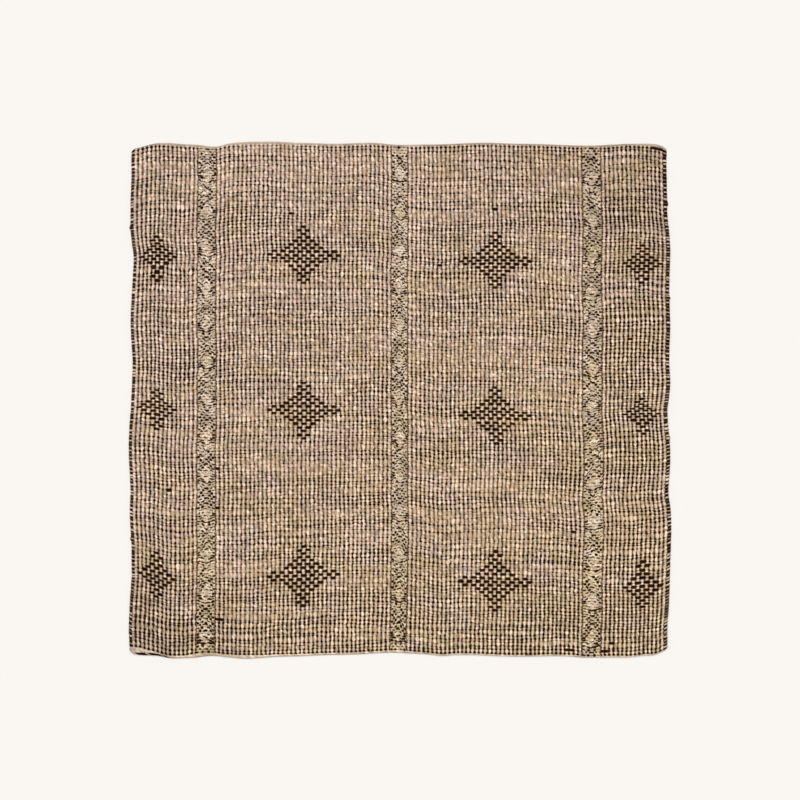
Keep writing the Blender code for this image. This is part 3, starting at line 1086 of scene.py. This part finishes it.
def band_section(name, first, last):
    rows = round(BAND_REPEATS * len(BAND_CHART))
    across, step, cell = band_columns(first, last)
    edge = (cell < 0)[None, :]
    charted = charted_points(rows, step, cell)
    pick = np.arange(rows)[:, None] + 0 * across
    from_middle = np.abs(across - (first + last) / 2) / ((last - first) / 2)
    turn = np.cos(2 * np.pi * (rows - pick) / len(BAND_CHART))
    from_end = np.minimum(pick, rows - 1 - pick)
    middle = pick + 0.5 + CHEVRON * turn * (from_middle - 0.5) * smooth(from_end / 6) * ~edge
    jitter = BAND_JITTER * drift(across * 2.1, pick * 0.97, 34)
    middle = middle + jitter * smooth(from_end / 2)

    plain = (pick + np.minimum(cell, BAND_COLUMNS - 1 - cell)[None, :]) % 2 == 0
    reach = np.where(charted, CHARTED_REACH, np.where(plain, PLAIN_REACH, HIDDEN_BAND_REACH))
    reach = reach * (1 + 0.9 * drift(across * 2.1, pick * 0.9 + 40, 31))
    reach = reach * (1 + BAND_FOOT_MORE * rise(pick, *BAND_FOOT_PICKS))
    reach = np.where(edge, EDGE_REACH * (1 + 0.9 * drift(across, pick * 0.9, 32)), reach)
    lower, upper = (part.T for part in yarn_edges(middle.T, reach.T))

    ripple = BAND_RIPPLE * np.sin(np.pi * step / BAND_STEPS)[None, :] ** 2
    crown = BAND_CROWN + ripple + 0.5 * MM * drift(across * 1.3, pick * 0.95, 33)
    crown = np.where(edge, EDGE_CROWN, crown)
    crease = crown - np.where(edge, EDGE_CREASE, BAND_CREASE)
    dark = np.where(charted, crown + 0.1 * MM, crease + 0.3 * MM)
    dark = np.where(edge, DOT_HEIGHT, dark)
    following = np.concatenate([lower[1:], np.full((1, len(step)), float(rows))])
    counts = np.stack([lower, middle, upper, (upper + following) / 2], 1)
    counts = np.concatenate([counts.reshape(-1, len(step)), following[-1:]]) * PICKS / rows
    heights = np.stack([crease, dark, crease, crown], 1).reshape(-1, len(step))
    heights = np.concatenate([heights, crease[-1:]])
    top = (np.broadcast_to(across, counts.shape), counts, heights)
    band = woven_section(name, first, last, top, BAND_PACE, BAND_FOLDS)
    band.data.materials[NATURAL] = band_jute
    return band


band_names = ("band_left", "band_middle", "band_right")
band_pieces = [band_section(name, *band) for name, band in zip(band_names, BANDS)]
for piece in band_pieces:
    print(piece.name, len(piece.data.polygons), "faces")

# %% [markdown]
# ## The corded sides
# At each side both yarns turn back around a bundle of warps, about once a pick each, so the side
# is a cord with slanting dark and natural wraps, like the rungs of a ladder. About a quarter of the
# dark wraps lie apart from their neighbours and show narrower. Here and there a dark turn was not
# pulled tight and stands out as a small loop. The rings of the tube follow the edges of the wraps,
# as the rows of the ground follow the picks.

# %% Wrap the two cords
CORD_PROFILE = np.array([
    (10.2, 2.5), (9.0, 5.2), (6.6, 8.1), (3.6, 8.9), (1.0, 7.9), (-1.0, 5.2), (-0.2, 2.0),
    (1.8, 0.2), (8.6, 0.1),
]) * MM
CORD_MIDDLE = np.array([4.0, 4.6]) * MM
WRAPS_IN_PICK = 1.05
WRAP_REACH = 0.42               # half the width of a dark wrap, in wraps
WRAP_JITTER = 0.25
SLACK_WRAPS = 0.25              # the share of wraps that lie apart
SLACK_LOSS = 0.60               # how much narrower they are
WRAP_SWELL = np.array([0.94, 1.02, 0.94, 1.05])
WRAP_SLANT = 0.5                # in picks
CORD_FOLDS = 16
LOOPS = {"cord_left": (29.5, 121.7), "cord_right": (59.0, 101.6, 130.5)}    # in picks
LOOP_OUT = 3.4 * MM
LOOP_HALF_WIDTH = 0.45          # in picks
OUTER_INSET = 2.6 * MM          # a loop pulls out what is nearer the outside than this


def cord(name, side):
    wrap = np.arange(round(PICKS * WRAPS_IN_PICK), dtype=float)[None, :]
    from_end = np.minimum(wrap, wrap[:, ::-1])
    jitter = WRAP_JITTER * drift(wrap * 0.97, 0 * wrap + side, 44)
    middle = wrap + 0.5 + jitter * smooth(from_end / 2)
    apart = np.random.default_rng(SEED + 5 + side).uniform(0, 1, wrap.shape)
    reach = WRAP_REACH * (1.0 - SLACK_LOSS * rise(apart, 1.0 - SLACK_WRAPS, 1.0))
    lower, upper = yarn_edges(middle, reach)
    last_edge = np.full((1, 1), wrap.shape[1])
    following = np.concatenate([lower[:, 1:], last_edge], axis=1)
    counts = np.stack([lower, middle, upper, (upper + following) / 2], 2)
    counts = np.append(counts.ravel(), last_edge)[:, None] / WRAPS_IN_PICK
    line = np.arange(len(counts))

    swell = WRAP_SWELL[line % LINES] + 0.05 * drift(counts[:, 0] * 0.9, line * 0.0 + side, 42)
    profile = CORD_MIDDLE + (CORD_PROFILE - CORD_MIDDLE) * swell[:, None, None]
    inset, height = profile[:, :, 0], np.maximum(profile[:, :, 1], 0.0)
    for loop in LOOPS[name]:
        pulled = LOOP_OUT * around(counts, loop, LOOP_HALF_WIDTH)
        inset = inset - pulled * (inset < OUTER_INSET)
    points_round = len(CORD_PROFILE)
    turn = np.arange(points_round) / (points_round - 1) - 0.35
    slant = WRAP_SLANT * (0.5 + 0.8 * drift(counts * 0.08, 0 * counts + side, 43))
    slant = slant * smooth(np.minimum(counts, PICKS - counts) / 3.0)
    counts = counts + slant * turn[None, :]
    rib = (inset - CORD_WIDTHS[name]) / RIB_PITCH
    rib = rib if side < 0 else RIBS - rib
    x, y = cloth_place(rib, counts)
    rings = np.stack([x, y, height], 2)
    round_cord = 0 * counts + np.arange(points_round) / (points_round - 1)
    weave = np.stack([rib + round_cord, counts], 2)
    if side < 0:
        rings, weave = rings[:, ::-1], weave[:, ::-1]
    wears = np.repeat(woven_lines(len(counts))[1], points_round)
    # how low each point lies, for the painted shade on the cord's lower sides
    sunk = np.clip((7.0 * MM - rings[:, :, 2]) / (9.0 * MM), 0, 1)
    return tube(name, rings, weave, sunk, wears, CORD_FOLDS, (natural_jute, dark_jute))


cords = [cord("cord_left", -1), cord("cord_right", 1)]
for piece in cords:
    print(piece.name, len(piece.data.polygons), "faces")

# %% [markdown]
# ## The hems
# Both ends finish in a strip of plain natural web that is turned under, so a narrow roll shows
# along each end and a flat flap lies beneath. The roll is uneven: it shows most at the left of
# the foot and at the right of the head. At the left of the foot it is rolled too far under, so
# that dark yarn peeps out along it in short stretches. The web at the foot is the paler one.

# %% Turn the two hems
HEM_STATIONS = 2                # rings of points for each rib
HEM_FOLDS = 3
HEM_FLAP = 30.0 * MM
HEM_HEIGHTS = np.array([4.6, 6.5, 7.0, 6.3, 4.2, 1.9, 0.3, 0.1, 2.2]) * MM
LEAST_HEM = 1.0 * MM
PEEP_SHARES = (0.006, 0.066)    # where the dark yarn peeps out, by the share across
PEEP_WIDTH = 6.0 * MM
PEEP_STATIONS = 7               # one in seven stays hidden
HEM_ENDS = {"hem_foot": (0.0, 1.0), "hem_head": (0.0, 1.0015)}


def hem_profile(width, peep):
    """Insets and heights around the turned strip, for each visible width."""
    flat = 0 * width
    insets = (
        width + 1.5 * MM, width - 0.6 * MM, width * 0.5 + 0.8 * MM + peep / 2, peep + 1.2 * MM,
        flat - 0.3 * MM, flat - 0.5 * MM, flat + 1.6 * MM, flat + HEM_FLAP,
        flat + HEM_FLAP + 0.5 * MM,
    )
    return np.stack(insets, 1), np.broadcast_to(HEM_HEIGHTS, (len(width), len(HEM_HEIGHTS)))


def hem(name, widths):
    stations = RIBS * HEM_STATIONS + 5
    across = np.linspace(*HEM_ENDS[name], stations)
    width = np.interp(across, HEM_SHARES, widths)
    width = np.maximum(width + 0.8 * MM * drift(across * 60, 0 * across, 51), LEAST_HEM)
    on_foot = name == "hem_foot"
    peeps = on_foot & (across > PEEP_SHARES[0]) & (across < PEEP_SHARES[1])
    insets, heights = hem_profile(width, PEEP_WIDTH * peeps)
    rib = np.interp(across * RUG_WIDTH, MARK_PLACES, RIB_MARKS)
    ripple = 0.35 * MM * np.cos(2 * np.pi * (rib - 0.5))[:, None] * (heights > 3.0 * MM)
    heights = heights + ripple + 0.3 * MM * drift(rib * 0.3, 0 * rib, 52)[:, None]
    heights = np.maximum(heights, 0.0)
    along = insets / RUG_LENGTH
    along = along if on_foot else 1.0 - along
    x, y = rug_place(across[:, None] + 0 * along, along)
    rings = np.stack([x, y, heights], 2)
    weave = np.stack([rib[:, None] + 0 * along, along * PICKS], 2)
    if not on_foot:
        rings, weave = rings[:, ::-1], weave[:, ::-1]
    # how low each point lies, for the painted shade on the roll's lower side and on the flap
    sunk = np.clip((6.4 * MM - rings[:, :, 2]) / (6.0 * MM), 0, 1)
    wears = np.zeros((stations - 1, rings.shape[1]), int)
    wears[:, 3] = DARK * peeps[:-1] * (np.arange(stations - 1) % PEEP_STATIONS > 0)
    hem_yarn = natural_jute if on_foot else hem_jute
    return tube(name, rings, weave, sunk, wears, HEM_FOLDS, (hem_yarn, dark_jute))


hems = [hem("hem_foot", FOOT_HEM), hem("hem_head", HEAD_HEM)]
for piece in hems:
    print(piece.name, len(piece.data.polygons), "faces")

# %% [markdown]
# ## Ride and replace
# Every piece rides on the rug's one body. Each piece is cloth, and the woven pieces together stand
# for the plain solid, which is hidden.

# %% Register the pieces
def register(piece):
    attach(piece, "root")
    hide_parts("woven_rug")


widths = [last - first for _, first, last in SECTIONS] + [last - first for first, last in BANDS]
for piece, width in zip(cloth_pieces + band_pieces, widths):
    register(piece)
for piece in cords:
    register(piece)
for piece in hems:
    register(piece)
print("pieces", len(cloth_pieces + band_pieces + cords + hems))

# %% [markdown]
# ## Floor and light
# A pale floor and an even, soft light from all sides, with a little more from above the head, so
# that the ribs round gently. A sun lamp with a wide angle does the work of a large softbox and
# lights every part of the rug the same. Hard light would throw the ribs into black and white.

# %% Floor, sky and lamp
FLOOR_SIZE = 12.0
FLOOR_COLOUR = (0.878, 0.849, 0.815, 1.0)
SKY_STRENGTH = 0.25
LAMP_STRENGTH = 2.84
LAMP_ANGLE = math.radians(50)
LAMP_TILT = (math.radians(-22), math.radians(-4), 0)

floor_mesh = bpy.data.meshes.new("floor")
half = FLOOR_SIZE / 2
floor_mesh.from_pydata(
    [(-half, -half, 0), (half, -half, 0), (half, half, 0), (-half, half, 0)], [], [(0, 1, 2, 3)],
)
floor_finish = bpy.data.materials.new("pale_floor")
floor_finish.use_nodes = True
floor_surface = floor_finish.node_tree.nodes["Principled BSDF"]
floor_surface.inputs["Base Color"].default_value = FLOOR_COLOUR
floor_surface.inputs["Roughness"].default_value = 1.0
floor_surface.inputs["Specular IOR Level"].default_value = 0.0
floor_mesh.materials.append(floor_finish)
floor = bpy.data.objects.new("floor", floor_mesh)
bpy.context.scene.collection.objects.link(floor)

sky = bpy.data.worlds.new("studio")
sky.use_nodes = True
backdrop = sky.node_tree.nodes["Background"]
backdrop.inputs["Color"].default_value = (1.0, 1.0, 1.0, 1.0)
backdrop.inputs["Strength"].default_value = SKY_STRENGTH
bpy.context.scene.world = sky

lamp_data = bpy.data.lights.new("wide_softbox", "SUN")
lamp_data.angle = LAMP_ANGLE
lamp_data.energy = LAMP_STRENGTH
lamp = bpy.data.objects.new("wide_softbox", lamp_data)
lamp.rotation_euler = LAMP_TILT
bpy.context.scene.collection.objects.link(lamp)
bpy.context.scene.view_settings.view_transform = "Standard"
print("lamp", lamp.name, "sky", sky.name)
